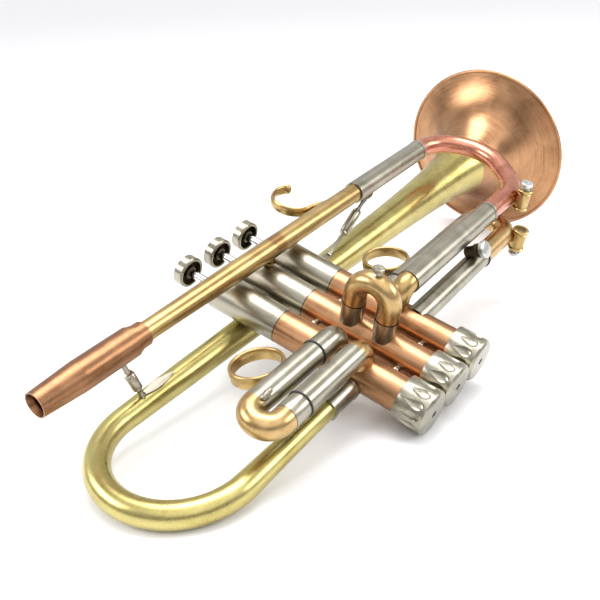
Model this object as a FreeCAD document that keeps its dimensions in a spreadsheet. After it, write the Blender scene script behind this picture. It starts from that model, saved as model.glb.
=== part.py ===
import FreeCAD, Part
import math
import os
import re

V = FreeCAD.Vector
os.makedirs("parts", exist_ok=True)
doc = FreeCAD.newDocument("trumpet")

# Instrument axes: X towards the bell, Y towards the finger buttons, Z to the player's right.
# The middle valve's bottom cap face is at the origin. All sizes are millimetres or degrees.
DIMENSIONS = [
    # valve block
    ("valveSpacing", 25.6), ("casingR", 9.9), ("casingBore", 8.45), ("casingStep", 0.05), ("pistonFit", 0.05),
    ("capR", 12.4), ("capHeight", 17.9), ("capThread", 0.4), ("capHoleR", 1.9), ("capFloor", 5.0),
    ("fluteCount", 10.0), ("fluteDepth", 1.1), ("fluteHalf", 6.0), ("fluteWidth", 2.3), ("fluteOut", 0.2),
    ("copperTop", 95.2), ("casingTop", 138.0), ("casingTopR", 11.1),
    ("topCapHeight", 7.5), ("topCapR", 10.9), ("topCapWall", 4.6), ("stemR", 2.6), ("stemHoleR", 3.2),
    ("pistonFoot", 34.0), ("pistonLength", 84.0), ("portR", 3.0), ("portReach", 20.0),
    ("buttonSeat", 162.2), ("buttonR", 9.3), ("buttonHeight", 6.5), ("buttonWall", 1.9), ("buttonDepth", 4.0),
    ("bossWall", 1.4), ("stemEntry", 2.0), ("studR", 1.9), ("studBallR", 2.6),
    # leadpipe and main tuning slide
    ("leadY", 128.2), ("leadZ", 21.25), ("mouthX", -161.4), ("mouthR", 6.6), ("receiverR", 8.0),
    ("receiverTaper", 24.0), ("receiverEnd", -105.5), ("receiverRingEnd", -97.2), ("receiverRingR", 6.6),
    ("shoulderRise", 0.5), ("shoulderWidth", 2.5), ("neckDepth", 12.0),
    ("socketR", 5.0), ("socketFlare", 0.9), ("socketLength", 26.0), ("socketStart", 3.0),
    ("leadR", 6.05), ("leadThinR", 5.3), ("leadBore", 4.6), ("leadTaperEnd", -30.0),
    ("tuningR", 7.05), ("tuningBore", 6.45), ("upperStart", 87.4), ("upperEnd", 169.5),
    ("lowerY", 54.0), ("lowerStart", 31.8), ("lowerEnd", 131.8), ("collarLength", 12.0),
    ("beadRise", 0.35), ("beadWidth", 2.2),
    ("crookR", 6.4), ("crookBore", 5.8), ("crookInsert", 44.0), ("crookBend", 31.5), ("crookAngle", 133.0),
    ("crookLowBend", 34.0), ("crookStartX", 171.5), ("elbowBend", 8.0), ("elbowR", 6.3), ("elbowBore", 5.6),
    # bell
    ("bellY", 121.5), ("bellZ", -18.4), ("tailY", 44.2), ("tailZ", -4.2), ("bowX", -117.5), ("bellWall", 0.5),
    ("stemStartX", -75.0), ("flareStartX", 240.0), ("rimX", 284.0), ("rimR", 65.7), ("rimWireR", 1.3),
    ("rimInset", 0.2), ("stemStartR", 7.5), ("bowMidR", 6.6), ("tailR", 5.5), ("ferruleR", 6.2),
    ("ferruleStart", -56.0), ("ferruleEnd", -36.0), ("ferruleBead", 0.45), ("ferruleBeadWidth", 1.4),
    # valve slides
    ("slideR", 6.6), ("slideBore", 6.15), ("slideInner", 6.1), ("slideInnerBore", 5.6), ("knuckleWall", 0.3),
    ("firstY", 60.3), ("firstLowY", 44.6), ("firstZ", 18.3), ("firstUpRing", -47.1), ("firstLowRing", -79.2),
    ("firstCrookX", -94.7), ("firstLowFace", -35.6), ("ringGap", 1.5), ("cushionR", 0.58), ("nubR", 1.6),
    ("firstInsert", 38.0), ("firstLowInsert", 32.0), ("stopRodLength", 26.0),
    ("fingerRingR", 14.5), ("fingerRingWall", 2.0), ("fingerRingWidth", 7.0), ("fingerRingSeat", 0.4),
    ("firstRingX", -70.0), ("thirdRingX", 65.0), ("firstRingLean", -20.0), ("thirdRingLean", -12.0),
    ("secondX", -2.0), ("secondY", 67.5), ("secondLowY", 46.5), ("secondSleeveTop", 20.0),
    ("secondBendZ", 27.0),
    ("secondR", 6.4), ("secondBore", 5.95), ("secondLegR", 5.9), ("secondLegBore", 5.2),
    ("secondBead", 1.6), ("knobR", 3.4), ("knobHeight", 5.0),
    ("thirdY", 67.0), ("thirdLowY", 42.6), ("thirdZ", 4.6), ("thirdUpRing", 45.0), ("thirdLowRing", 106.7),
    ("thirdCrookX", 139.5), ("thirdInsert", 44.0), ("thirdLowInsert", 40.0),
    # water keys
    ("keyR", 4.7), ("keyBore", 3.2), ("keyLength", 15.0), ("keyPlungerR", 3.15), ("keyButtonR", 3.9),
    ("keyFlangeRise", 0.5), ("keyFlangeWidth", 1.6), ("keyNeckR", 2.2), ("keyNeckLength", 4.0),
    ("keyHeadHeight", 2.2), ("keyHeadGap", 2.6), ("keyInset", 1.0),
    ("key1X", 165.0), ("key1Y", 44.4), ("key1Z", 14.2), ("key2X", 147.7), ("key2Y", 33.95), ("key2Z", -4.4),
    # lyre holder
    ("holderX", 96.0), ("holderY", 47.6), ("holderZ", 11.6), ("holderR", 3.6), ("holderLength", 9.0),
    ("holderCollar", 0.8), ("holderCollarWidth", 2.4), ("screwR", 2.0), ("screwHeadR", 5.4),
    ("screwHeadHeight", 3.6), ("screwHeadGap", 1.6), ("screwStart", 2.0), ("screwTilt", 36.9),
    # braces, hook, fits and the way the instrument lies
    ("postR", 1.7), ("barrelR", 2.9), ("slimmer", 0.85), ("footBallR", 2.55), ("valvePostR", 2.0),
    ("valveDiscR", 3.6), ("valveRingR", 2.8), ("hookBarR", 2.0), ("hookBallR", 3.0), ("saddleWall", 1.1),
    ("saddleStart", 54.0), ("saddleLength", 20.0), ("fit", 0.3), ("weldGap", 0.03), ("overlap", 3.0),
    ("reach", 150.0), ("restTurn", 0.0), ("restPitch", -7.074), ("restRoll", 16.271),
]
PORTS = ((8, 35), (22, -20), (36, 60), (50, 5))  # height above the piston's foot, turn in degrees
STUD_HEIGHTS = (31, 52, 84)  # knuckles between neighbouring valves

sheet = doc.addObject("Spreadsheet::Sheet", "Dims")
for row, (alias, value) in enumerate(DIMENSIONS, start=1):
    sheet.set("A%d" % row, alias)
    sheet.set("B%d" % row, str(value))
    sheet.setAlias("B%d" % row, alias)
doc.recompute()
NAMES = {alias for alias, value in DIMENSIONS}
nodes = []


def size(alias):
    return float(getattr(sheet, alias))


def bound(text):
    """Turns a formula of sheet names into a FreeCAD expression."""
    def swap(match):
        word = match.group(0)
        return "Dims." + word if word in NAMES else word
    return re.sub(r"[A-Za-z]\w*", swap, str(text))


def turned(axis, angle):
    return FreeCAD.Rotation(axis, angle)


X_AXIS, Y_AXIS, Z_AXIS = V(1, 0, 0), V(0, 1, 0), V(0, 0, 1)
TURNS = {"x": turned(Y_AXIS, 90), "y": turned(X_AXIS, -90), "z": FreeCAD.Rotation()}


# Primitives, each bound to the sheet
def put(obj, at, rotation):
    obj.Placement = FreeCAD.Placement(V(), rotation)
    for axis, formula in zip("xyz", at):
        obj.setExpression("Placement.Base." + axis, bound(formula))
    return obj


def rod(radius, length, at, along):
    obj = doc.addObject("Part::Cylinder", "rod")
    obj.setExpression("Radius", bound(radius))
    obj.setExpression("Height", bound(length))
    return put(obj, at, TURNS[along] if isinstance(along, str) else along)


def cone(radius1, radius2, length, at, along):
    obj = doc.addObject("Part::Cone", "cone")
    obj.setExpression("Radius1", bound(radius1))
    obj.setExpression("Radius2", bound(radius2))
    obj.setExpression("Height", bound(length))
    return put(obj, at, TURNS[along])


def bend(bendRadius, tubeRadius, at, rotation, sweep=180):
    obj = doc.addObject("Part::Torus", "bend")
    obj.setExpression("Radius1", bound(bendRadius))
    obj.setExpression("Radius2", bound(tubeRadius))
    obj.Angle3 = sweep
    return put(obj, at, rotation)


def ball(radius, at):
    obj = doc.addObject("Part::Sphere", "ball")
    obj.setExpression("Radius", bound(radius))
    return put(obj, at, TURNS["z"])


def join(pieces):
    if len(pieces) == 1:
        return pieces[0]
    obj = doc.addObject("Part::MultiFuse", "join")
    obj.Shapes = pieces
    return obj


def carve(base, tools):
    obj = doc.addObject("Part::Cut", "carve")
    obj.Base = base
    obj.Tool = join(tools)
    return obj


def tube(outer, inner, length, at, along):
    return carve(rod(outer, length, at, along), [rod(inner, length, at, along)])


def node(label, obj):
    obj.Label = label
    nodes.append(obj)
    return obj


def feature(name, shape):
    obj = doc.addObject("Part::Feature", name)
    obj.Shape = shape
    return obj


# Bell outline: (distance along X, outer radius) from the end of the bow to the rim
BELL_OUTLINE = [(-75.0, 7.5), (-40.0, 7.9), (0.0, 8.8), (40.0, 9.6), (75.0, 10.4), (110.0, 11.4), (137.0, 12.3),
                (165.0, 13.6), (195.0, 15.4), (213.0, 17.0), (228.0, 19.0), (240.0, 21.3), (252.0, 25.4),
                (262.0, 31.0), (270.0, 38.0), (276.0, 46.0), (280.5, 55.0), (284.0, 65.7)]
SAMPLES, SPANS = 1200, 24  # fine steps along the outline, and spans kept for one piece
MARGIN = 0.2  # overrun at a piece's ends
outline = Part.BSplineCurve()
outline.interpolate([V(a, r, 0) for a, r in BELL_OUTLINE])


def bellPoints(first, last):
    """Points of the bell's outline between two places along X."""
    low, high = outline.FirstParameter, outline.LastParameter
    points = [outline.value(low + (high - low) * step / SAMPLES) for step in range(SAMPLES + 1)]
    points = [p for p in points if first - MARGIN <= p.x <= last + MARGIN]
    kept = points[::max(1, len(points) // SPANS)]
    return kept if kept[-1] == points[-1] else kept + [points[-1]]


def bellTurned(first, last, grow=0.0, filled=False):
    """The bell between two places along X, as a shell or filled, and grown for cutting seats."""
    kept = [V(p.x, p.y + grow, 0) for p in bellPoints(first, last)]
    outer = Part.BSplineCurve()
    outer.interpolate(kept)
    if filled:
        foot, head = V(kept[0].x, 0, 0), V(kept[-1].x, 0, 0)
        edges = [outer.toShape(), Part.makeLine(kept[-1], head), Part.makeLine(head, foot),
                 Part.makeLine(foot, kept[0])]
    else:
        inside = [V(p.x, p.y - size("bellWall") - 2 * grow, 0) for p in kept]
        inner = Part.BSplineCurve()
        inner.interpolate(inside)
        edges = [outer.toShape(), Part.makeLine(kept[-1], inside[-1]), inner.toShape(),
                 Part.makeLine(inside[0], kept[0])]
    solid = Part.Face(Part.Wire(Part.__sortEdges__(edges))).revolve(V(), X_AXIS, 360)
    solid.translate(V(0, size("bellY"), size("bellZ")))
    return solid


stemCore = bellTurned(size("stemStartX"), size("flareStartX"), size("weldGap"), True)


def casingCut(x, y):
    """A valve casing's outside, a weld gap larger, around a place on the valve."""
    return rod("casingR + weldGap", "reach / 2", (x, y + " - reach / 4", 0), "y")


# Valve block
for index in range(3):
    number = index + 1
    x = "valveSpacing * %d" % (index - 1)
    low = carve(rod("casingR", "copperTop - capHeight + capThread", (x, "capHeight - capThread", 0), "y"),
                [rod("casingBore", "reach", (x, "0", 0), "y")])
    node("lower_casing_%d" % number, low)
    # the bell's stem is seated in the back of each upper casing
    high = carve(cone("casingR + casingStep", "casingTopR", "casingTop - copperTop", (x, "copperTop", 0), "y"),
                 [rod("casingBore", "reach", (x, "0", 0), "y"), feature("stemSeat", stemCore)])
    node("upper_casing_%d" % number, high)

    flutes = []
    for step in range(int(size("fluteCount"))):
        angle = 360.0 / size("fluteCount") * step
        flute = doc.addObject("Part::Ellipsoid", "flute")
        flute.setExpression("Radius1", bound("fluteDepth"))
        flute.setExpression("Radius2", bound("fluteHalf"))
        flute.setExpression("Radius3", bound("fluteWidth"))
        turn = turned(Y_AXIS, angle).multiply(turned(Z_AXIS, 90))
        at = (x + " + (capR + fluteOut) * sin(%g)" % angle, "capHeight * 0.52",
              "(capR + fluteOut) * cos(%g)" % angle)
        flutes.append(put(flute, at, turn))
    seats = [rod("casingBore", "capHeight", (x, "capFloor", 0), "y"),
             rod("casingR + weldGap", "capHeight", (x, "capHeight - capThread - weldGap", 0), "y"),
             rod("capHoleR", "capFloor * 2", (x, "-capFloor / 2", 0), "y")]
    node("bottom_cap_%d" % number, carve(rod("capR", "capHeight", (x, 0, 0), "y"), seats + flutes))

    crown = join([rod("topCapR", "topCapWall", (x, "casingTop", 0), "y"),
                  cone("topCapR", "topCapR * 0.55", "topCapHeight - topCapWall",
                       (x, "casingTop + topCapWall", 0), "y")])
    node("top_cap_%d" % number, carve(crown, [
        rod("stemHoleR", "topCapHeight * 2", (x, "casingTop - topCapHeight / 2", 0), "y"),
        rod("casingBore", "topCapWall / 2", (x, "casingTop", 0), "y")]))

    body = rod("casingBore - pistonFit", "pistonLength", (x, "pistonFoot", 0), "y")
    stem = rod("stemR", "buttonSeat - pistonFoot - pistonLength + stemEntry",
               (x, "pistonFoot + pistonLength", 0), "y")
    ports = []
    for height, angle in PORTS:
        at = (x + " - portReach * sin(%g)" % angle, "pistonFoot + %g" % height,
              "-portReach * cos(%g)" % angle)
        ports.append(rod("portR", "portReach * 2", at, turned(Y_AXIS, angle)))
    node("piston_%d" % number, join([carve(body, ports), stem]))

    button = carve(rod("buttonR", "buttonHeight", (x, "buttonSeat", 0), "y"),
                   [rod("buttonR - buttonWall", "buttonDepth", (x, "buttonSeat", 0), "y")])
    boss = carve(rod("stemR + bossWall", "buttonDepth", (x, "buttonSeat + stemEntry / 4", 0), "y"),
                 [rod("stemR", "stemEntry * 0.75", (x, "buttonSeat + stemEntry / 4", 0), "y")])
    node("finger_button_%d" % number, join([button, boss]))

studs = []
for side in (-0.5, 0.5):
    x = "valveSpacing * %g" % side
    for height in STUD_HEIGHTS:
        at = (x + " - (valveSpacing - casingR) / 2", height, 0)
        studs.append(rod("studR", "valveSpacing - casingR", at, "x"))
        studs.append(ball("studBallR", (x, height, 0)))
casings = [rod("casingR + weldGap", "copperTop", ("valveSpacing * %d" % side, 0, 0), "y") for side in (-1, 0, 1)]
node("casing_knuckles", carve(join(studs), casings))

# Mouthpiece receiver, leadpipe and the fixed sleeves of the main tuning slide
lead = ("leadY", "leadZ")
shell = join([
    cone("mouthR", "receiverR", "receiverTaper", ("mouthX",) + lead, "x"),
    rod("receiverR", "receiverEnd - mouthX - receiverTaper", ("mouthX + receiverTaper",) + lead, "x"),
    rod("receiverRingR + shoulderRise", "shoulderWidth", ("receiverEnd",) + lead, "x"),
    rod("receiverRingR", "receiverRingEnd - receiverEnd - shoulderWidth",
        ("receiverEnd + shoulderWidth",) + lead, "x")])
node("mouthpiece_receiver", carve(shell, [
    cone("socketR + socketFlare", "socketR", "socketStart", ("mouthX",) + lead, "x"),
    rod("socketR", "socketLength", ("mouthX + socketStart",) + lead, "x"),
    rod("leadBore", "reach / 2", ("mouthX + socketStart",) + lead, "x"),
    rod("leadThinR", "neckDepth", ("receiverRingEnd - neckDepth",) + lead, "x")]))
pipeOut = join([rod("leadThinR", "neckDepth", ("receiverRingEnd - neckDepth",) + lead, "x"),
                cone("leadThinR", "leadR", "leadTaperEnd - receiverRingEnd", ("receiverRingEnd",) + lead, "x"),
                rod("leadR", "upperStart + collarLength - leadTaperEnd", ("leadTaperEnd",) + lead, "x")])
node("leadpipe", carve(pipeOut, [rod("leadBore", "reach * 2", ("receiverRingEnd - neckDepth * 2",) + lead, "x")]))
for label, y, start, end, neck in (("upper_tuning_sleeve", "leadY", "upperStart", "upperEnd", "leadR"),
                                   ("lower_tuning_sleeve", "lowerY", "lowerStart", "lowerEnd", "elbowBore")):
    at = (start, y, "leadZ")
    base = join([rod("tuningR", end + " - " + start, at, "x"),
                 rod("tuningR + beadRise", "beadWidth", (end + " - beadWidth", y, "leadZ"), "x")])
    node(label, carve(base, [rod(neck, "collarLength", at, "x"),
                             rod("tuningBore", end + " - " + start,
                                 (start + " + collarLength", y, "leadZ"), "x")]))
elbowAt = ("lowerStart", "lowerY", "leadZ - elbowBend")
elbowTurn = turned(X_AXIS, 90).multiply(turned(Z_AXIS, 90))
node("inlet_elbow", carve(
    join([bend("elbowBend", "elbowR", elbowAt, elbowTurn, 90),
          rod("elbowR", "leadZ - elbowBend - casingR + overlap",
              ("lowerStart - elbowBend", "lowerY", "casingR - overlap"), "z")]),
    [bend("elbowBend", "elbowBore", elbowAt, elbowTurn, 90),
     rod("elbowBore", "leadZ - elbowBend", ("lowerStart - elbowBend", "lowerY", 0), "z"),
     casingCut("valveSpacing", "lowerY")]))

# Main tuning slide: two straight legs, two bends of different size and a slanted run between them
turnX = "crookStartX + crookBend * sin(crookAngle)"
turnY = "leadY - crookBend * (1 - cos(crookAngle))"
run = "((%s) - lowerY - crookLowBend * (1 + cos(crookAngle))) / sin(crookAngle)" % turnY
finishX = "(%s) + (%s) * cos(crookAngle) - crookLowBend * sin(crookAngle)" % (turnX, run)
slant = math.radians(size("crookAngle"))
slantWay = FreeCAD.Rotation(Z_AXIS, V(math.cos(slant), -math.sin(slant), 0))


def crookPath(radius):
    return join([
        rod(radius, "crookStartX - upperEnd + crookInsert", ("upperEnd - crookInsert", "leadY", "leadZ"), "x"),
        bend("crookBend", radius, ("crookStartX", "leadY - crookBend", "leadZ"),
             turned(Z_AXIS, 90 - size("crookAngle")), size("crookAngle")),
        rod(radius, run, (turnX, turnY, "leadZ"), slantWay),
        bend("crookLowBend", radius, (finishX, "lowerY + crookLowBend", "leadZ"),
             turned(Z_AXIS, -90), 180 - size("crookAngle")),
        rod(radius, "(%s) - lowerEnd + crookInsert" % finishX, ("lowerEnd - crookInsert", "lowerY", "leadZ"), "x")])


node("tuning_crook", carve(crookPath("crookR"), [crookPath("crookBore")]))

# Bell: stem and flare turned about X, a rim wire that holds the flare's edge, the bow and the tail
node("bell_stem", feature("stem", bellTurned(size("stemStartX"), size("flareStartX"))))
node("bell_flare", feature("flare", bellTurned(size("flareStartX"), size("rimX"))))
rim = ("rimX", "bellY", "bellZ")
halfWires = [bend("rimR - rimInset", "rimWireR", rim, TURNS["x"].multiply(turned(Z_AXIS, angle)))
             for angle in (0, 180)]
flareSlot = feature("flareSlot", bellTurned(size("flareStartX"), size("rimX"), size("weldGap")))
node("bell_rim_wire", carve(join(halfWires), [flareSlot]))

across, rise = size("bellY") - size("tailY"), size("bellZ") - size("tailZ")
bowTurn = turned(X_AXIS, math.degrees(math.atan2(rise, across))).multiply(turned(Z_AXIS, 90))
halfSpan = "sqrt((bellY - tailY) ^ 2 + (bellZ - tailZ) ^ 2) / 2"
bowAt = ("bowX", "(bellY + tailY) / 2", "(bellZ + tailZ) / 2")


def bowPath(change):
    """The bow with its two tapered legs; change is added to every radius."""
    return join([
        cone("bowMidR" + change, "stemStartR" + change, "stemStartX - bowX", ("bowX", "bellY", "bellZ"), "x"),
        bend(halfSpan, "bowMidR" + change, bowAt, bowTurn),
        cone("bowMidR" + change, "tailR" + change, "ferruleStart - bowX", ("bowX", "tailY", "tailZ"), "x")])


node("bell_bow", carve(bowPath(""), [bowPath(" - bellWall")]))
tail = ("tailY", "tailZ")
ferrule = join([rod("ferruleR", "ferruleEnd - ferruleStart + overlap", ("ferruleStart",) + tail, "x"),
                rod("ferruleR + ferruleBead", "ferruleBeadWidth", ("ferruleStart",) + tail, "x"),
                rod("ferruleR + ferruleBead", "ferruleBeadWidth", ("ferruleEnd - ferruleBeadWidth",) + tail, "x")])
node("bell_tail_ferrule", carve(ferrule, [rod("tailR", "reach", ("ferruleStart - overlap",) + tail, "x"),
                                          casingCut("-valveSpacing", "tailY")]))


# First slide: a fixed upper inner leg and a fixed lower outer leg, both bent into the first casing
def knuckle(y):
    """Elbow from a slide leg on X into the first valve casing on Z, as the outside and its bore."""
    centre = ("firstLowFace", y, "firstZ - elbowBend")
    drop = ("firstLowFace + elbowBend", y)
    turn = turned(X_AXIS, 90)
    outside = [bend("elbowBend", "slideInner + knuckleWall", centre, turn, 90),
               rod("slideInner + knuckleWall", "firstZ - elbowBend - casingR + overlap",
                   drop + ("casingR - overlap",), "z")]
    hollow = [bend("elbowBend", "slideInnerBore", centre, turn, 90),
              rod("slideInnerBore", "firstZ - elbowBend - 1", drop + ("1",), "z"), casingCut("-valveSpacing", y)]
    return outside, hollow


outside, hollow = knuckle("firstY")
upAt, lowAt = ("firstY", "firstZ"), ("firstLowY", "firstZ")
outside += [rod("slideInner", "firstLowFace - firstUpRing + firstInsert",
                ("firstUpRing - firstInsert",) + upAt, "x"),
            rod("slideR", "firstLowFace - firstUpRing", ("firstUpRing",) + upAt, "x")]
hollow += [rod("slideInnerBore", "reach", ("firstLowFace - reach",) + upAt, "x")]
node("slide_1_inner_leg", carve(join(outside), hollow))
outside, hollow = knuckle("firstLowY")
node("slide_1_lower_knuckle", carve(join(outside), hollow))
node("slide_1_lower_sleeve", tube("slideR", "slideBore", "firstLowFace - firstLowRing",
                                  ("firstLowRing",) + lowAt, "x"))
node("slide_1_upper_sleeve", tube("slideR", "slideBore", "firstUpRing - ringGap - firstCrookX",
                                  ("firstCrookX",) + upAt, "x"))
U_BACK = turned(Z_AXIS, 90)
bowFirst = "(firstY - firstLowY) / 2"
backAt = ("firstCrookX", "(firstY + firstLowY) / 2", "firstZ")
node("slide_1_crook", carve(
    join([bend(bowFirst, "slideR", backAt, U_BACK),
          rod("slideR", "firstLowRing - ringGap - firstCrookX", ("firstCrookX",) + lowAt, "x"),
          rod("slideInner", "firstLowRing - firstCrookX + firstLowInsert", ("firstCrookX",) + lowAt, "x")]),
    [bend(bowFirst, "slideInnerBore", backAt, U_BACK),
     rod("slideInnerBore", "reach", ("firstCrookX",) + lowAt, "x")]))
# the stop nub and its rod sit beside the upper leg, on the crook's shoulder
nubX, nubY = "firstCrookX - nubR", "firstY - nubR / 2"
node("slide_1_stop_rod", carve(
    join([ball("nubR * 1.35", (nubX, nubY, "firstZ + slideR + nubR * 0.75")),
          rod("nubR * 0.55", "stopRodLength", (nubX, nubY, "firstZ + slideR + nubR * 0.3"), "x")]),
    [bend(bowFirst, "slideR + weldGap", backAt, U_BACK),
     rod("slideR + weldGap", "reach", ("firstCrookX",) + upAt, "x")]))


def fingerRing(label, x, y, z, lean):
    """Flat ring standing on an upper slide sleeve and leaning about it."""
    reach = "(slideR + fingerRingR - fingerRingWall - fingerRingSeat)"
    at = (x, "%s + %s * cos(%s) + fingerRingWidth / 2 * sin(%s)" % (y, reach, lean, lean),
          "%s + %s * sin(%s) - fingerRingWidth / 2 * cos(%s)" % (z, reach, lean, lean))
    way = turned(X_AXIS, size(lean))
    node(label, carve(rod("fingerRingR", "fingerRingWidth", at, way),
                      [rod("fingerRingR - fingerRingWall", "fingerRingWidth", at, way),
                       rod("slideR + weldGap", "reach", (x + " - reach / 2", y, z), "x")]))


fingerRing("slide_1_ring", "firstRingX", "firstY", "firstZ", "firstRingLean")
fingerRing("slide_3_ring", "thirdRingX", "thirdY", "thirdZ", "thirdRingLean")


def cushions(label, places):
    """Rubber rings that lie against the moving sleeves and ride on the inner legs."""
    rings = [bend("slideInner + pistonFit + cushionR", "cushionR", at, TURNS["x"], 360) for at in places]
    node(label, join(rings))


cushions("slide_1_cushions", [("firstUpRing - ringGap + cushionR + weldGap", "firstY", "firstZ"),
                              ("firstLowRing - ringGap + cushionR + weldGap", "firstLowY", "firstZ")])

# Second slide: two sleeves standing on the middle casing, and a bow that lifts out of them
seats, bores = [], []
for y in ("secondY", "secondLowY"):
    seats.append(rod("secondR", "secondSleeveTop - casingR + overlap", ("secondX", y, "casingR - overlap"), "z"))
    seats.append(rod("secondR + beadRise", "secondBead", ("secondX", y, "secondSleeveTop - secondBead"), "z"))
    bores.append(rod("secondBore", "secondSleeveTop", ("secondX", y, "1"), "z"))
bores.append(rod("casingR + weldGap", "copperTop", (0, 0, 0), "y"))
node("slide_2_sleeves", carve(join(seats), bores))
U_UP = turned(Y_AXIS, -90).multiply(turned(Z_AXIS, -90))
bowSecond = "(secondY - secondLowY) / 2"
secondMiddle = "(secondY + secondLowY) / 2"
overAt = ("secondX", secondMiddle, "secondBendZ")
legs, bores = [bend(bowSecond, "secondR", overAt, U_UP)], [bend(bowSecond, "secondLegBore", overAt, U_UP)]
for y in ("secondY", "secondLowY"):
    legs.append(rod("secondLegR", "secondBendZ - casingR - 1", ("secondX", y, "casingR + 1"), "z"))
    legs.append(rod("secondR", "secondBendZ - secondSleeveTop - fit",
                    ("secondX", y, "secondSleeveTop + fit"), "z"))
    bores.append(rod("secondLegBore", "secondBendZ", ("secondX", y, "0"), "z"))
node("slide_2_crook", carve(join(legs), bores))
crest = "secondBendZ + (secondY - secondLowY) / 2 + secondR"
node("slide_2_knob", carve(
    join([rod("knobR / 2", "knobHeight", ("secondX", secondMiddle, crest + " - 1"), "z"),
          rod("knobR", "knobHeight * 0.45", ("secondX", secondMiddle, crest + " + knobHeight * 0.45"), "z")]),
    [bend(bowSecond, "secondR + weldGap", overAt, U_UP)]))

# Third slide: a fixed upper inner leg, a fixed lower outer leg and a long bow with its own sleeve
stub, lowStub = ("thirdY", "thirdZ"), ("thirdLowY", "thirdZ")
node("slide_3_inner_leg", carve(
    join([rod("slideInner", "thirdUpRing + thirdInsert - valveSpacing", ("valveSpacing",) + stub, "x"),
          rod("slideR", "thirdUpRing - valveSpacing", ("valveSpacing",) + stub, "x")]),
    [rod("slideInnerBore", "reach", ("valveSpacing - 1",) + stub, "x"), casingCut("valveSpacing", "thirdY")]))
node("slide_3_lower_sleeve", carve(
    rod("slideR", "thirdLowRing - valveSpacing", ("valveSpacing",) + lowStub, "x"),
    [rod("slideBore", "reach", ("valveSpacing - 1",) + lowStub, "x"), casingCut("valveSpacing", "thirdLowY")]))
node("slide_3_upper_sleeve", tube("slideR", "slideBore", "thirdCrookX - thirdUpRing - ringGap",
                                  ("thirdUpRing + ringGap",) + stub, "x"))
U_FRONT = turned(Z_AXIS, -90)
bowThird = "(thirdY - thirdLowY) / 2"
frontAt = ("thirdCrookX", "(thirdY + thirdLowY) / 2", "thirdZ")
node("slide_3_crook", carve(
    join([bend(bowThird, "slideR", frontAt, U_FRONT),
          rod("slideR", "thirdCrookX - thirdLowRing - ringGap", ("thirdLowRing + ringGap",) + lowStub, "x"),
          rod("slideInner", "thirdCrookX - thirdLowRing + thirdLowInsert",
              ("thirdLowRing - thirdLowInsert",) + lowStub, "x")]),
    [bend(bowThird, "slideInnerBore", frontAt, U_FRONT),
     rod("slideInnerBore", "reach", ("thirdCrookX - reach",) + lowStub, "x")]))
cushions("slide_3_cushions", [("thirdUpRing + ringGap - cushionR - weldGap", "thirdY", "thirdZ"),
                              ("thirdLowRing + ringGap - cushionR - weldGap", "thirdLowY", "thirdZ")])


# Water keys: a flanged barrel seated on a crook, and a plunger that is pressed in by its head
def waterKey(number, x, y, z, way, crook):
    flangeR = "keyR + keyFlangeRise"
    barrel = join([rod("keyR", "keyLength", (x, y, z), "z"), rod(flangeR, "keyFlangeWidth", (x, y, z), "z"),
                   rod(flangeR, "keyFlangeWidth", (x, y, z + " + keyLength - keyFlangeWidth"), "z")])
    bore = rod("keyBore", "keyLength * 2", (x, y, z + " - keyLength / 2"), "z")
    node("water_key_%d_barrel" % number, carve(barrel, [bore, crook]))
    if way > 0:
        starts = (z + " + keyInset * 2", z + " + keyLength", z + " + keyLength + keyHeadGap")
    else:
        starts = (z + " - keyInset", z + " - keyNeckLength", z + " - keyHeadGap - keyHeadHeight")
    node("water_key_%d_plunger" % number, join([
        rod("keyPlungerR", "keyLength - keyInset", (x, y, starts[0]), "z"),
        rod("keyNeckR", "keyNeckLength", (x, y, starts[1]), "z"),
        rod("keyButtonR", "keyHeadHeight", (x, y, starts[2]), "z")]))


waterKey(1, "key1X", "key1Y", "key1Z", 1, crookPath("crookR + weldGap"))
waterKey(2, "key2X", "key2Y", "key2Z", -1, bend(bowThird, "slideR + weldGap", frontAt, U_FRONT))

# Lyre holder: a round block between two sleeves, with a thumb screw on a slanted axis
lean = math.radians(size("screwTilt"))
screwWay = FreeCAD.Rotation(Z_AXIS, V(0, -math.cos(lean), math.sin(lean)))


def alongScrew(distance):
    """A place at a distance along the screw's axis."""
    return ("holderX", "holderY - (%s) * cos(screwTilt)" % distance,
            "holderZ + (%s) * sin(screwTilt)" % distance)


collar = rod("holderR + holderCollar", "holderCollarWidth",
             alongScrew("holderLength - holderCollarWidth"), screwWay)
node("lyre_holder", carve(
    join([rod("holderR", "holderLength", alongScrew("0"), screwWay), collar]),
    [rod("screwR", "holderLength * 2", alongScrew("0"), screwWay),
     rod("tuningR + weldGap", "reach", ("holderX - reach / 2", "lowerY", "leadZ"), "x"),
     rod("slideR + weldGap", "reach", ("holderX - reach / 2", "thirdLowY", "thirdZ"), "x")]))
node("lyre_screw", join([
    rod("screwR - pistonFit", "holderLength + 1", alongScrew("screwStart"), screwWay),
    rod("screwHeadR", "screwHeadHeight", alongScrew("holderLength + screwHeadGap"), screwWay)]))


# Braces and the finger hook
def strut(start, end, radius, first=0.0, last=1.0):
    """Round bar over a share of the way between two points."""
    way = end - start
    return Part.makeCylinder(radius, way.Length * (last - first), start + way * first, way)


def leaf(centre, length, width, thick):
    """Long pointed foot plate lying along X."""
    half, side = length / 2.0, width / 2.0
    bulgeX, bulgeY = half * 0.45, side * 0.8
    corners = [V(-half, 0, 0), V(0, -side, 0), V(half, 0, 0), V(0, side, 0)]
    bulges = [V(-bulgeX, -bulgeY, 0), V(bulgeX, -bulgeY, 0), V(bulgeX, bulgeY, 0), V(-bulgeX, bulgeY, 0)]
    arcs = [Part.Arc(corners[i], bulges[i], corners[(i + 1) % 4]).toShape() for i in range(4)]
    plate = Part.Face(Part.Wire(arcs)).extrude(V(0, 0, thick))
    plate.translate(centre)
    return plate


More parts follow.
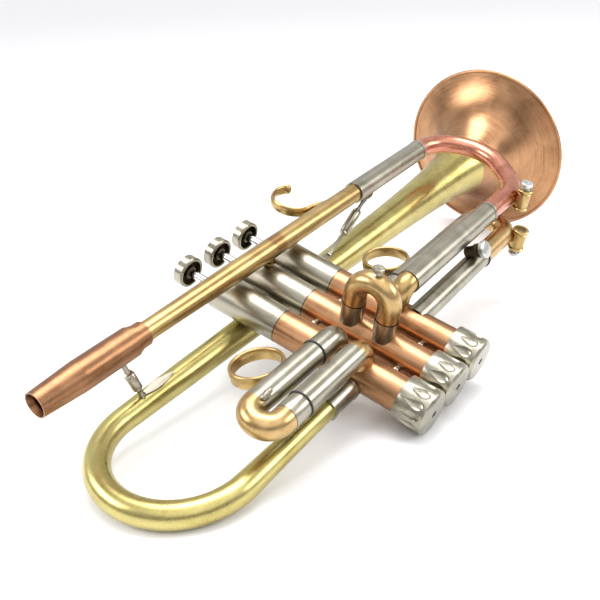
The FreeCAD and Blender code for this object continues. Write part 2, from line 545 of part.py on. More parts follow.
gap = size("weldGap")
leadAxis = V(0, size("leadY"), size("leadZ"))
bowCore = bowPath(" + weldGap")
doc.recompute()


def leadRod(radius, start, end):
    """A stretch of the leadpipe's line, a weld gap larger, that seats are cut with."""
    return Part.makeCylinder(radius + gap, end - start, V(start, leadAxis.y, leadAxis.z), X_AXIS)


def brace(label, top, foot, postR, barrelR, barrelSpan, feet, cores):
    """Post with pointed feet, and a barrel round its middle."""
    post = strut(top, foot, postR).fuse(feet)
    node(label, feature("post", post.cut(cores)))
    sleeve = strut(top, foot, barrelR, *barrelSpan).cut(strut(top, foot, postR + gap))
    node(label + "_barrel", feature("barrel", sleeve))


rearFoot = V(-105, 121.5, -11.4)
brace("receiver_brace", V(-114, 126.5, 15.4), rearFoot, size("postR"), size("barrelR"), (0.36, 0.78),
      [leaf(V(-88, 121.5, -12.0), 36, 8, 2.4), Part.makeSphere(size("footBallR"), rearFoot)],
      [stemCore, bowCore.Shape, leadRod(size("receiverR"), size("mouthX"), size("receiverEnd")),
       leadRod(size("receiverRingR") + size("shoulderRise"), size("receiverEnd"), size("receiverRingEnd"))])
slim = size("slimmer")
brace("bell_brace", V(94, 123.5, 15.2), V(60, 121.5, -9.0), size("postR") * slim, size("barrelR") * 0.9,
      (0.3, 0.72), [leaf(V(54, 121.5, -9.6), 30, 7, 2.0), leaf(V(100, 124.5, 13.6), 26, 6, 2.2)],
      [stemCore, leadRod(size("tuningR"), size("upperStart") - gap, size("upperEnd")),
       leadRod(size("leadR"), 0, size("upperEnd"))])
valveTop, valveEnd = V(1, 127.5, 9.0), V(1, 127.8, 15.8)
valveBrace = strut(valveTop, valveEnd, size("valvePostR")).fuse([
    strut(valveTop, valveEnd, size("valveDiscR"), 0.45, 0.62),
    strut(valveTop, valveEnd, size("valveRingR"), 0.7, 0.82)])
casingCone = Part.makeCone(size("casingR") + size("casingStep") + gap, size("casingTopR") + gap,
                           size("casingTop") - size("copperTop"), V(0, size("copperTop"), 0), Y_AXIS)
span = size("valveSpacing")
node("leadpipe_brace", feature("valveBrace", valveBrace.cut([casingCone, leadRod(size("leadR"), -span, span)])))

hookLine = [V(62, 133.0, 21.2), V(51.5, 135.8, 21.2), V(42, 141.5, 21.2), V(38.5, 150.5, 21.2),
            V(43.0, 158.6, 21.2), V(51.5, 162.2, 21.2), V(59.5, 162.0, 21.2)]
hookCurve = Part.BSplineCurve()
hookCurve.interpolate(Points=hookLine)
hookStart = hookCurve.tangent(hookCurve.FirstParameter)[0]
section = Part.Wire(Part.Circle(hookLine[0], hookStart, size("hookBarR")).toShape())
hook = Part.Wire(hookCurve.toShape()).makePipeShell([section], True, True)
saddle = Part.makeCylinder(size("leadR") + size("saddleWall"), size("saddleLength"),
                           leadAxis + V(size("saddleStart"), 0, 0), X_AXIS, 180)
saddle.rotate(leadAxis, X_AXIS, 90)
hook = hook.fuse([Part.makeSphere(size("hookBallR"), hookLine[-1]), saddle])
node("pinky_hook", feature("hook", hook.cut(leadRod(size("leadR"), 0, size("reach")))))

# The instrument is turned to the way it rests, with its box centred and its lowest point at zero
doc.recompute()
rest = FreeCAD.Rotation(size("restTurn"), size("restPitch"), size("restRoll"))
boxes = []
for obj in nodes:
    local = obj.Shape.copy()
    local.Placement = FreeCAD.Placement(V(), rest).multiply(local.Placement)
    boxes.append(local.optimalBoundingBox(False))
lowest = [min(getattr(box, side) for box in boxes) for side in ("XMin", "YMin", "ZMin")]
highest = [max(getattr(box, side) for box in boxes) for side in ("XMax", "YMax", "ZMax")]
base = V(-(lowest[0] + highest[0]) / 2, -(lowest[1] + highest[1]) / 2, -lowest[2])
for obj in nodes:
    obj.Placement = FreeCAD.Placement(base, rest).multiply(obj.Placement)
doc.recompute()

# Every object and every shape is checked before anything is written
for obj in doc.Objects:
    if "Invalid" in obj.State or "Error" in obj.State:
        raise SystemExit("bad state: " + obj.Label)
for obj in nodes:
    if obj.Shape.isNull() or not obj.Shape.isValid():
        raise SystemExit("bad shape: " + obj.Label)
for obj in nodes:
    obj.Shape.exportStep("parts/%s.step" % obj.Label)
print("rest base", tuple(round(c, 4) for c in base), "box", [round(h - l, 2) for h, l in zip(highest, lowest)])
print("nodes", len(nodes))
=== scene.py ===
import math
import bpy
from mathutils import Euler, Matrix, Vector


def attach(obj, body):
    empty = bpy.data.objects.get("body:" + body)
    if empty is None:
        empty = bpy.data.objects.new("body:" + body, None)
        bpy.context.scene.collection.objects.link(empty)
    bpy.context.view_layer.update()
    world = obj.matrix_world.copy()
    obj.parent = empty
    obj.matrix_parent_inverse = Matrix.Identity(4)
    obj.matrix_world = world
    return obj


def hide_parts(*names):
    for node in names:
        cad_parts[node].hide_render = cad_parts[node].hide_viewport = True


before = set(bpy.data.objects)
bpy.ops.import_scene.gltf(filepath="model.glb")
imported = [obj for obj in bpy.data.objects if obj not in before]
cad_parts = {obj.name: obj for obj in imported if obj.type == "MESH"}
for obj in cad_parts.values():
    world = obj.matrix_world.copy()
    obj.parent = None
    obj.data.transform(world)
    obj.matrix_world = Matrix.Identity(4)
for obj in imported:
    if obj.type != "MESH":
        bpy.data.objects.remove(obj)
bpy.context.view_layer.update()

print("frame loaded", len(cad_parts), "nodes")

# how the instrument lies: its own axes are x to the bell, y to the finger buttons, z to the player's right
lie = {"pitch": -7.074, "roll": 16.271, "base": (-60.6338, -92.5573, 15.0722), "mm": 0.001}
lieTurn = Euler((math.radians(lie["roll"]), math.radians(lie["pitch"]), 0.0), "XYZ")
lieMatrix = Matrix.Translation(Vector(lie["base"]) * lie["mm"]) @ lieTurn.to_matrix().to_4x4()


class Wire:  # wraps one output socket so that shader maths reads as maths
    def __init__(self, tree, socket):
        self.tree, self.socket = tree, socket

    def maths(self, operation, *values):
        return addNode(self.tree, "ShaderNodeMath", {"operation": operation}, values)

    def __add__(self, other):
        return self.maths("ADD", self, other)

    def __radd__(self, other):
        return self.maths("ADD", other, self)

    def __sub__(self, other):
        return self.maths("SUBTRACT", self, other)

    def __rsub__(self, other):
        return self.maths("SUBTRACT", other, self)

    def __mul__(self, other):
        return self.maths("MULTIPLY", self, other)

    def __rmul__(self, other):
        return self.maths("MULTIPLY", other, self)

    def __abs__(self):
        return self.maths("ABSOLUTE", self)


def addNode(tree, kind, settings=None, values=(), out=0):
    node = tree.nodes.new(kind)
    for name, value in (settings or {}).items():
        setattr(node, name, value)
    pairs = values.items() if isinstance(values, dict) else enumerate(values)
    for key, value in pairs:
        if isinstance(value, Wire):
            tree.links.new(value.socket, node.inputs[key])
        else:
            node.inputs[key].default_value = value
    return Wire(tree, node.outputs[out])


def mixColours(tree, share, first, second):
    node = tree.nodes.new("ShaderNodeMix")
    node.data_type = "RGBA"
    for index, value in ((0, share), (6, first), (7, second)):
        if isinstance(value, Wire):
            tree.links.new(value.socket, node.inputs[index])
        elif index == 0:
            node.inputs[0].default_value = value
        else:
            node.inputs[index].default_value = (*value, 1.0)
    return Wire(tree, node.outputs[2])


def startMaterial(name):
    material = bpy.data.materials.new(name)
    material.use_nodes = True
    tree = material.node_tree
    shader = tree.nodes["Principled BSDF"]
    place = addNode(tree, "ShaderNodeTexCoord", out=3)
    # back from the lying pose to the instrument's own axes, in millimetres
    base = tuple(Vector(lie["base"]) * lie["mm"])
    shifted = addNode(tree, "ShaderNodeVectorMath", {"operation": "SUBTRACT"}, (place, base))
    rolled = addNode(tree, "ShaderNodeVectorRotate", {"rotation_type": "EULER_XYZ", "invert": True},
                     {"Vector": shifted, "Rotation": (lieTurn.x, lieTurn.y, 0.0)})
    own = addNode(tree, "ShaderNodeVectorMath", {"operation": "SCALE"},
                  {"Vector": rolled, "Scale": 1.0 / lie["mm"]})
    return material, tree, shader, own


def stretched(tree, own, scale):
    return addNode(tree, "ShaderNodeVectorMath", {"operation": "MULTIPLY"}, (own, scale))


def noise(tree, where, scale, detail=3.0, rough=0.5, twist=0.0):
    sockets = {"Vector": where, "Scale": scale, "Detail": detail, "Roughness": rough, "Distortion": twist}
    return addNode(tree, "ShaderNodeTexNoise", {"noise_dimensions": "3D"}, sockets)


def ramp(tree, value, low, high):
    sockets = {"Value": value, "From Min": low, "From Max": high, "To Min": 0.0, "To Max": 1.0}
    return addNode(tree, "ShaderNodeMapRange", {"clamp": True}, sockets)


# what every satined metal shares
satin = {"broad": 0.22, "fineShare": 0.6, "hazeScale": 0.45, "speckScale": 1.9,
         "speckTone": (0.03, 0.02, 0.012), "seamTone": (0.025, 0.018, 0.012), "seamDepth": 0.88,
         "cloudRough": 0.14, "bumpDepth": 0.00006}


def nearness(along, spot, half, core):  # 1 within core of the spot, falling to 0 at half
    return 1.0 - ramp(along.tree, abs(along - spot), half * core, half)


# a hand-satined metal: fine strokes along one way, soft clouds, brown lacquer haze and a few dark specks
def satinMetal(name, look):
    material, tree, shader, own = startMaterial(name)
    fine = noise(tree, stretched(tree, own, look["strokes"]), 1.0, 2.0)
    broad = noise(tree, stretched(tree, own, tuple(v * satin["broad"] for v in look["strokes"])), 1.0, 2.0)
    clouds = noise(tree, own, look["cloudScale"], 3.0, 0.6, 0.8)
    haze = noise(tree, own, look["cloudScale"] * satin["hazeScale"], 2.0, 0.5, 0.4)
    specks = noise(tree, own, satin["speckScale"], 2.0, 0.7)
    stroke = fine * satin["fineShare"] + broad * (1.0 - satin["fineShare"])
    tone = mixColours(tree, ramp(tree, clouds, 0.35, 0.68), look["deep"], look["body"])
    tone = mixColours(tree, ramp(tree, stroke, 0.36, 0.66) * look["strokeShade"], tone, look["bright"])
    tone = mixColours(tree, ramp(tree, haze, 0.52, 0.74) * look["tarnish"], tone, look["tarnishTone"])
    tone = mixColours(tree, ramp(tree, specks, 0.735, 0.78) * look["specks"], tone, satin["speckTone"])
    axes = addNode(tree, "ShaderNodeSeparateXYZ", None, {"Vector": own}).socket.node.outputs
    for axis, spot, half in look.get("seams", ()):
        line = nearness(Wire(tree, axes[axis]), spot, half, 0.5)
        tone = mixColours(tree, line * satin["seamDepth"], tone, satin["seamTone"])
    for axis, spot, half, strength in look.get("stains", ()):
        along = Wire(tree, axes[axis]) + (clouds - 0.5) * half * 2.0
        tone = mixColours(tree, nearness(along, spot, half, 0.6) * strength, tone, look["stainTone"])
    tree.links.new(tone.socket, shader.inputs["Base Color"])
    rough = look["rough"] + (stroke - 0.5) * look["roughStroke"] + (clouds - 0.5) * satin["cloudRough"]
    tree.links.new(rough.socket, shader.inputs["Roughness"])
    shader.inputs["Metallic"].default_value = 1.0
    relief = {"Strength": look["bump"], "Distance": satin["bumpDepth"], "Height": stroke}
    bump = addNode(tree, "ShaderNodeBump", None, relief)
    tree.links.new(bump.socket, shader.inputs["Normal"])
    material.diffuse_color = (*look["body"], 1.0)
    return material


alongX, alongY, alongZ = (0.05, 3.0, 3.0), (3.0, 0.05, 3.0), (3.0, 3.0, 0.05)
finishes = {
    "bronze": {"body": (0.30, 0.150, 0.075), "deep": (0.19, 0.088, 0.042),
               "bright": (0.46, 0.26, 0.14), "rough": 0.34},
    "goldBrass": {"body": (0.47, 0.325, 0.130), "deep": (0.33, 0.21, 0.075),
                  "bright": (0.66, 0.50, 0.25), "rough": 0.3},
    "pinkBrass": {"body": (0.50, 0.335, 0.145), "deep": (0.36, 0.225, 0.085),
                  "bright": (0.70, 0.53, 0.29), "rough": 0.3},
    "yellowBrass": {"body": (0.50, 0.43, 0.155), "deep": (0.35, 0.28, 0.08),
                    "bright": (0.72, 0.65, 0.33), "rough": 0.29},
    "copper": {"body": (0.44, 0.232, 0.112), "deep": (0.29, 0.14, 0.062),
               "bright": (0.66, 0.42, 0.26), "rough": 0.3},
    "roseCopper": {"body": (0.60, 0.245, 0.165), "deep": (0.43, 0.155, 0.095),
                   "bright": (0.78, 0.42, 0.31), "rough": 0.27},
    "nickelSilver": {"body": (0.36, 0.335, 0.27), "deep": (0.24, 0.22, 0.165),
                     "bright": (0.56, 0.54, 0.46), "rough": 0.3},
    "steel": {"body": (0.60, 0.60, 0.58), "deep": (0.45, 0.45, 0.43),
              "bright": (0.75, 0.75, 0.73), "rough": 0.16},
    # painted shade: a near-black brass for the lyre holder and the finger buttons' hollow undersides, places
    # that sit in shade
    "paintedShadeBrass": {"body": (0.11, 0.09, 0.055), "deep": (0.05, 0.04, 0.025),
                  "bright": (0.24, 0.19, 0.10), "rough": 0.4},
}
common = {"strokes": alongX, "cloudScale": 0.05, "strokeShade": 0.32, "tarnish": 0.22, "specks": 0.4,
          "roughStroke": 0.1, "bump": 0.12}


def finish(kind, **changes):
    look = dict(common)
    look.update(finishes[kind])
    look.setdefault("tarnishTone", tuple(v * 0.7 for v in look["deep"]))
    look["stainTone"] = (0.20, 0.085, 0.04)
    look.update(changes)
    return look


def rubber(name):
    material, tree, shader, own = startMaterial(name)
    grain = noise(tree, own, 2.4, 3.0)
    tone = mixColours(tree, ramp(tree, grain, 0.3, 0.7), (0.008, 0.008, 0.008), (0.03, 0.028, 0.026))
    tree.links.new(tone.socket, shader.inputs["Base Color"])
    tree.links.new((grain * 0.25 + 0.42).socket, shader.inputs["Roughness"])
    return material


# a seam is (axis, place, half its width); a stain adds its strength
looks = {
    "bronze": finish("bronze", strokes=(0.5, 2.2, 2.2), tarnish=0.25),
    "leadBrass": finish("goldBrass", stains=((0, 5.0, 7.0, 0.6),), seams=((0, 87.3, 0.4),)),
    "knuckleBrass": finish("pinkBrass", cloudScale=0.12),
    "ringBrass": finish("goldBrass", strokes=(1.0, 1.0, 4.0)),
    "bellBrass": finish("yellowBrass", cloudScale=0.03, tarnish=0.08, specks=0.15),
    "flareCopper": finish("copper", strokes=(2.6, 0.05, 0.05), strokeShade=0.3, bump=0.08),
    "casingCopper": finish("copper", strokes=alongY, seams=((1, 95.1, 0.3),)),
    "roseCopper": finish("roseCopper", strokes=(0.8, 0.8, 3.4), tarnish=0.2),
    "tubeNickel": finish("nickelSilver"),
    "casingNickel": finish("nickelSilver", strokes=alongY, seams=((1, 95.3, 0.25), (1, 138.0, 0.3))),
    "standNickel": finish("nickelSilver", strokes=alongZ, seams=((2, 20.1, 0.35),)),
    "buttonNickel": finish("nickelSilver", strokes=(0.6, 3.0, 0.6), rough=0.26),
    "cuffNickel": finish("nickelSilver", seams=((0, -91.4, 0.3),)),
    "screwNickel": finish("steel", strokes=(1.6, 1.6, 1.6), rough=0.3),
    "capNickel": finish("nickelSilver", strokes=(1.2, 1.2, 1.2), cloudScale=0.15),
    "steel": finish("steel", strokes=alongY, tarnish=0.0, specks=0.0),
    # painted shade: the near-black brass look
    "paintedShadeBrass": finish("paintedShadeBrass", strokes=(1.5, 1.5, 1.5)),
}
materials = {name: satinMetal(name, look) for name, look in looks.items()}
materials["rubber"] = rubber("rubber")
print("materials made", len(materials))

wears = {
    "mouthpiece_receiver": "bronze", "leadpipe": "leadBrass", "inlet_elbow": "leadBrass",
    "leadpipe_brace": "ringBrass", "pinky_hook": "ringBrass",
    "slide_1_ring": "ringBrass", "slide_3_ring": "ringBrass",
    "water_key_1_barrel": "ringBrass", "water_key_2_barrel": "ringBrass",
    "slide_1_crook": "knuckleBrass", "slide_2_crook": "knuckleBrass", "slide_3_crook": "knuckleBrass",
    "slide_1_lower_knuckle": "knuckleBrass", "bell_stem": "bellBrass", "bell_bow": "bellBrass",
    "bell_flare": "flareCopper", "bell_rim_wire": "flareCopper", "tuning_crook": "roseCopper",
    # the lyre holder takes the near-black brass, painted shade for the block that sits in shadow
    "lyre_holder": "paintedShadeBrass", "slide_1_cushions": "rubber", "slide_3_cushions": "rubber",
    "slide_2_sleeves": "standNickel", "casing_knuckles": "capNickel", "lyre_screw": "capNickel",
    "slide_2_knob": "capNickel", "slide_1_stop_rod": "capNickel",
}
for index in (1, 2, 3):
    wears["lower_casing_%d" % index] = "casingCopper"
    for part in ("upper_casing_%d", "top_cap_%d", "finger_button_%d"):
        wears[part % index] = "casingNickel"
    wears["bottom_cap_%d" % index] = "capNickel"
    wears["piston_%d" % index] = "steel"
for name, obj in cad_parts.items():
    obj.data.materials.clear()
    obj.data.materials.append(materials[wears.get(name, "tubeNickel")])
print("CAD nodes dressed")

# pieces are modelled in the instrument's own axes, in millimetres, and laid down at the end
mergeGap, poleRadius = 0.002, 0.001
facing = {"x": (0, math.radians(90), 0), "y": (math.radians(-90), 0, 0), "z": (0, 0, 0)}
ways = {"x": Vector((1, 0, 0)), "y": Vector((0, 1, 0)), "z": Vector((0, 0, 1))}


def startRing(name, radius, sides, place, tilt):
    bpy.ops.object.select_all(action="DESELECT")
    bpy.ops.mesh.primitive_circle_add(vertices=sides, radius=radius, location=place, rotation=tilt)
    piece = bpy.context.object
    piece.name = name
    bpy.ops.object.transform_apply(location=True, rotation=True, scale=True)
    bpy.ops.object.mode_set(mode="EDIT")
    bpy.ops.mesh.select_all(action="SELECT")
    return piece


def run(way):
    bpy.ops.mesh.extrude_region_move(TRANSFORM_OT_translate={"value": tuple(way)})


def widen(factor):
    bpy.ops.transform.resize(value=(factor, factor, factor))


def sweep(angle, centre, axis, steps):  # spin turns the other way about its axis
    bpy.ops.mesh.spin(steps=steps, angle=-math.radians(angle), center=tuple(centre), axis=tuple(axis))


def closeUp():
    bpy.ops.mesh.select_all(action="SELECT")
    bpy.ops.mesh.remove_doubles(threshold=mergeGap)
    bpy.ops.mesh.normals_make_consistent(inside=False)
    bpy.ops.object.mode_set(mode="OBJECT")


# a turned piece: (distance along its axis, radius) stations; radius 0 closes it in a pole
def turn(name, stations, place, axis, sides):
    way = ways[axis] if isinstance(axis, str) else axis.normalized()
    tilt = facing[axis] if isinstance(axis, str) else way.to_track_quat("Z", "Y").to_euler()
    distance, radius = stations[0]
    radius = max(radius, poleRadius)
    piece = startRing(name, radius, sides, tuple(Vector(place) + way * distance), tilt)
    for farther, wider in stations[1:]:
        wider = max(wider, poleRadius)
        run(way * (farther - distance))
        widen(wider / radius)
        distance, radius = farther, wider
    closeUp()
    return piece


def applyAll(piece):
    bpy.context.view_layer.objects.active = piece
    for modifier in list(piece.modifiers):
        bpy.ops.object.modifier_apply(modifier=modifier.name)


def cutAway(piece, cutter):
    bite = piece.modifiers.new("bite", "BOOLEAN")
    bite.operation, bite.object, bite.solver = "DIFFERENCE", cutter, "EXACT"
    applyAll(piece)
    bpy.data.objects.remove(cutter, do_unlink=True)


def thicken(piece, wall):
    shell = piece.modifiers.new("wall", "SOLIDIFY")
    shell.thickness, shell.offset = wall, -1.0
    applyAll(piece)


# from the instrument's own axes to the lying pose; stands are the CAD nodes that the piece replaces
def layDown(piece, stands, body, finishName, sharp):
    bpy.ops.object.select_all(action="DESELECT")
    piece.select_set(True)
    bpy.context.view_layer.objects.active = piece
    piece.matrix_world = lieMatrix @ Matrix.Scale(lie["mm"], 4) @ piece.matrix_world
    bpy.ops.object.transform_apply(location=True, rotation=True, scale=True)
    bpy.ops.object.shade_smooth_by_angle(angle=math.radians(sharp))
    if finishName:
        piece.data.materials.clear()
        piece.data.materials.append(materials[finishName])
    if stands:
        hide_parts(*stands)
    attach(piece, body)


def copyPiece(source, name):
    piece = source.copy()
    piece.data = source.data.copy()
    piece.name = name
    bpy.context.collection.objects.link(piece)
    return piece


def joinPieces(first, others):
    bpy.ops.object.select_all(action="DESELECT")
    for piece in [first] + others:
        piece.select_set(True)
    bpy.context.view_layer.objects.active = first
    bpy.ops.object.join()
    return first


# bottom caps: turned cups with tear-shaped flutes and a bevelled face
cap = {"radius": 12.35, "height": 17.9, "bore": 8.5, "seat": 9.95, "step": 0.45, "hole": 1.9, "floor": 5.0,
       "bevel": 1.5, "flutes": 12, "fluteMiddle": 8.3, "fluteFlat": 0.42, "fluteRise": 0.25, "spacing": 25.6}
tear = [(-5.4, 0), (-5.1, 1.0), (-4.4, 1.9), (-3.2, 2.65), (-1.6, 2.95), (0.2, 2.75), (2.2, 2.1), (4.2, 1.3),
        (6.0, 0.55), (7.2, 0)]


def capBlank():
    outer, bevel, top = cap["radius"], cap["bevel"], cap["height"]
    ledge = top - cap["step"]
    stations = [(0, cap["hole"]), (0, outer - bevel), (bevel * 0.65, outer - 0.35), (bevel, outer),
                (top - 0.5, outer), (top - 0.15, outer - 0.15), (top, outer - 0.5), (top, cap["seat"]),
                (ledge, cap["seat"]), (ledge, cap["bore"]), (cap["floor"], cap["bore"]),
                (cap["floor"], cap["hole"]), (0, cap["hole"])]
    return turn("cap", stations, (0, 0, 0), "y", 120)


def tearCutters():
    cutters = []
    for step in range(cap["flutes"]):
        cutter = turn("tear", tear, (0, cap["fluteMiddle"], 0), "y", 20)
        cutter.scale = (1, 1, cap["fluteFlat"])
        angle = math.radians(360 / cap["flutes"] * (step + 0.5))
        cutter.rotation_euler = (0, angle, 0)
        reach = cap["radius"] + cap["fluteRise"]
        cutter.location = (reach * math.sin(angle), 0, reach * math.cos(angle))
        cutters.append(cutter)
    whole = joinPieces(cutters[0], cutters[1:])
    bpy.ops.object.transform_apply(location=True, rotation=True, scale=True)
    return whole


firstCap = capBlank()
cutAway(firstCap, tearCutters())
for index in (1, 2, 3):
    piece = copyPiece(firstCap, "bottomCap%d" % index)
    piece.location.x = cap["spacing"] * (index - 2)
    layDown(piece, ["bottom_cap_%d" % index], "trumpet", "capNickel", 25)
bpy.data.objects.remove(firstCap, do_unlink=True)
print("bottom caps made")

# finger buttons: thick rolled rims round a hollow underside that is painted near-black as painted shade
button = {"seat": 162.2, "radius": 9.3, "height": 6.5, "lip": 7.5, "depth": 4.0, "boss": 4.0, "stem": 2.65,
          "socket": 2.05, "spacing": 25.6}


def buttonStations():
    r, h, lip, depth, boss = (button[key] for key in ("radius", "height", "lip", "depth", "boss"))
    stem, socket = button["stem"], button["socket"]
    outside = [(h, 0), (h + 0.02, r * 0.5), (h, r - 0.9), (h - 0.2, r - 0.35), (h - 0.6, r), (1.0, r),
               (0.75, r - 0.22), (0.5, r - 0.05), (0.2, r - 0.2), (0, r - 0.6)]
    inside = [(0, lip + 0.3), (0.25, lip), (depth, lip - 0.15), (depth, boss), (0.7, boss - 0.2), (0.5, stem),
              (socket, stem), (socket, 0)]
    return outside + inside


for index in (1, 2, 3):
    x = button["spacing"] * (index - 2)
    piece = turn("fingerButton%d" % index, buttonStations(), (x, button["seat"], 0), "y", 72)
    piece.data.materials.append(materials["buttonNickel"])
    piece.data.materials.append(materials["paintedShadeBrass"])
    for face in piece.data.polygons:
        across = math.hypot(face.center.x - x, face.center.z)
        # faces inside the hollow underside take the near-black brass: painted shade in the button's recess
        shadedHollow = across < button["lip"] and face.center.y < button["seat"] + button["depth"] + 1
        face.material_index = 1 if shadedHollow else 0
    layDown(piece, ["finger_button_%d" % index], "valve_%d" % index, None, 40)
print("finger buttons made")

# main tuning crook: one smooth tube of two legs, two bends and a slanted run
crook = {"radius": 6.4, "wall": 0.6, "upperY": 128.2, "lowerY": 54.0, "z": 21.25, "upperEnd": 169.5,
         "lowerEnd": 131.8, "insert": 44.0, "bendX": 171.5, "bend": 31.5, "lowBend": 34.0, "angle": 133.0}


def makeCrook():
    slant = math.radians(crook["angle"])
    first = Vector((crook["bendX"], crook["upperY"] - crook["bend"], crook["z"]))
    bent = first + crook["bend"] * Vector((math.sin(slant), math.cos(slant), 0))
    slope = (bent.y - crook["lowerY"] - crook["lowBend"] * (1 + math.cos(slant))) / math.sin(slant)
    finishX = bent.x + slope * math.cos(slant) - crook["lowBend"] * math.sin(slant)
    start = crook["upperEnd"] - crook["insert"]
    piece = startRing("tuningCrook", crook["radius"], 56, (start, crook["upperY"], crook["z"]), facing["x"])
    run((crook["bendX"] - start, 0, 0))
    sweep(-crook["angle"], first, (0, 0, 1), 36)
    run((slope * math.cos(slant), -slope * math.sin(slant), 0))
    sweep(crook["angle"] - 180, (finishX, crook["lowerY"] + crook["lowBend"], crook["z"]), (0, 0, 1), 16)
    run((crook["lowerEnd"] - crook["insert"] - finishX, 0, 0))
    closeUp()
    thicken(piece, crook["wall"])
    layDown(piece, ["tuning_crook"], "main_tuning_slide", "roseCopper", 40)


makeCrook()
print("tuning crook made")

# finger rings: rounded bands that lean about their slides
ring = {"radius": 14.5, "wall": 2.0, "width": 7.0, "round": 0.8, "seat": 0.4, "sleeve": 6.63, "coreReach": 40}


def makeRing(name, node, body, place, lean):
    r, w, c, t = ring["radius"], ring["width"] / 2, ring["round"], ring["wall"]
    corner = [(0, c), (c * 0.3, c * 0.3), (c, 0)]
    stations = [(-w + a, r - b) for a, b in corner] + [(w - b, r - a) for a, b in corner]
    stations += [(w - a, r - t + b) for a, b in corner] + [(-w + b, r - t + a) for a, b in corner]
    lean = math.radians(lean)
    reach = ring["sleeve"] + r - t - ring["seat"]
    middle = Vector(place) + reach * Vector((0, math.cos(lean), math.sin(lean)))
    piece = turn(name, stations + stations[:1], middle, Vector((0, -math.sin(lean), math.cos(lean))), 96)
    far, sleeve = ring["coreReach"], ring["sleeve"]
    cutter = turn("core", [(-far, 0), (-far, sleeve), (far, sleeve), (far, 0)], place, "x", 64)
    cutAway(piece, cutter)
    layDown(piece, [node], body, "ringBrass", 45)


makeRing("fingerRing1", "slide_1_ring", "first_valve_slide", (-70.0, 60.3, 18.3), -20)
makeRing("fingerRing3", "slide_3_ring", "third_valve_slide", (65.0, 67.0, 4.6), -12)
print("finger rings made")

# little-finger hook: a flattened band that rises off the leadpipe and curls to a rounded tip
hook = {"band": 3.3, "thick": 1.45, "startX": 66.0, "startY": 132.4, "z": 21.2, "run": 7.0,
        "rises": (1.8, 2.2), "loop": 13.2, "curl": 215, "tip": 2.6}
hookLift = sum(hook["rises"]) + hook["loop"]
hookCentre = Vector((hook["startX"] - 2 * hook["run"], hook["startY"] + hookLift, hook["z"]))


def makeHook():
    piece = startRing("pinkyHook", 1.0, 28, (hook["startX"], hook["startY"], hook["z"]), facing["x"])
    bpy.ops.transform.resize(value=(1, hook["thick"], hook["band"]))
    for rise in hook["rises"]:
        run((-hook["run"], rise, 0))
    sweep(-hook["curl"], hookCentre, (0, 0, 1), 40)
    bpy.ops.mesh.edge_face_add()
    closeUp()
    return piece


def makeTip():
    band, radius, angle = hook["band"], hook["tip"], math.radians(270 - hook["curl"])
    place = hookCentre + hook["loop"] * Vector((math.cos(angle), math.sin(angle), 0))
    steps = [math.radians(degrees) for degrees in range(15, 180, 15)]
    dome = [(-band * math.cos(step), radius * math.sin(step)) for step in steps]
    return turn("tip", [(-band, 0)] + dome + [(band, 0)], place, "z", 28)


hookPiece = makeHook()
joinPieces(hookPiece, [makeTip()])
layDown(hookPiece, ["pinky_hook"], "trumpet", "ringBrass", 45)
print("hook made")


# braces: slender turned posts with a barrel, on leaf-shaped feet
leafTaper = 0.45  # how much narrower a leaf is at its tips


def makeLeaf(place, length, width, thick):
    piece = startRing("leaf", 1.0, 40, place, facing["z"])
    bpy.ops.mesh.edge_face_add()
    run((0, 0, thick))
    closeUp()
    for vertex in piece.data.vertices:
        along = vertex.co.x - place[0]
        across = vertex.co.y - place[1]
        vertex.co.x = place[0] + along * length / 2
        vertex.co.y = place[1] + across * width / 2 * (1 - leafTaper * abs(along) ** 1.5)
    return piece


braces = {
    "receiverBrace": {"stands": ["receiver_brace", "receiver_brace_barrel"], "top": (-114, 126.5, 15.4),
                      "foot": (-105, 121.5, -11.4), "post": 1.7, "barrel": 2.9, "span": (0.36, 0.78),
                      "leaves": [((-95, 121.5, -12.0), 24, 5, 1.6)]},
    "bellBrace": {"stands": ["bell_brace", "bell_brace_barrel"], "top": (95, 123.5, 15.2),
                  "foot": (57, 121.5, -9.0), "post": 1.5, "barrel": 3.1, "span": (0.2, 0.62),
                  "leaves": [((52, 121.5, -9.6), 22, 5, 1.5), ((100, 124.5, 14.0), 14, 4, 1.3)]},
}


def makeBrace(name, brace):
    top, foot, post, barrel = Vector(brace["top"]), Vector(brace["foot"]), brace["post"], brace["barrel"]
    length = (foot - top).length
    a, b = (share * length for share in brace["span"])
    neck = [(0, 0), (0, post * 1.25), (a * 0.35, post * 0.85), (a - 1.2, post * 0.9), (a - 0.9, post * 1.3),
            (a - 0.3, post * 1.3)]
    middle = [(a, barrel * 0.8), (a + 0.6, barrel), (a + 1.6, barrel * 0.9), (a + 2.0, barrel),
              (b - 2.0, barrel * 0.95), (b - 1.6, barrel * 0.85), (b - 0.6, barrel * 0.95),
              (b, barrel * 0.75)]
    end = [(b + 0.3, post * 1.2), (b + 0.9, post * 0.9), (length - 2, post * 0.85), (length, post * 1.3),
           (length, 0)]
    piece = turn(name, neck + middle + end, top, foot - top, 32)
    joinPieces(piece, [makeLeaf(*leaf) for leaf in brace["leaves"]])
    layDown(piece, brace["stands"], "trumpet", "tubeNickel", 40)


for name, brace in braces.items():
    makeBrace(name, brace)
print("braces made")

# thumb screw: a thick disc with bevelled edges on its shank
screw = {"tilt": 36.9, "place": (96.0, 47.6, 11.6), "head": 5.4, "thick": 3.6, "start": 10.6, "shank": 1.95,
         "shankStart": 2, "bevel": 0.7}


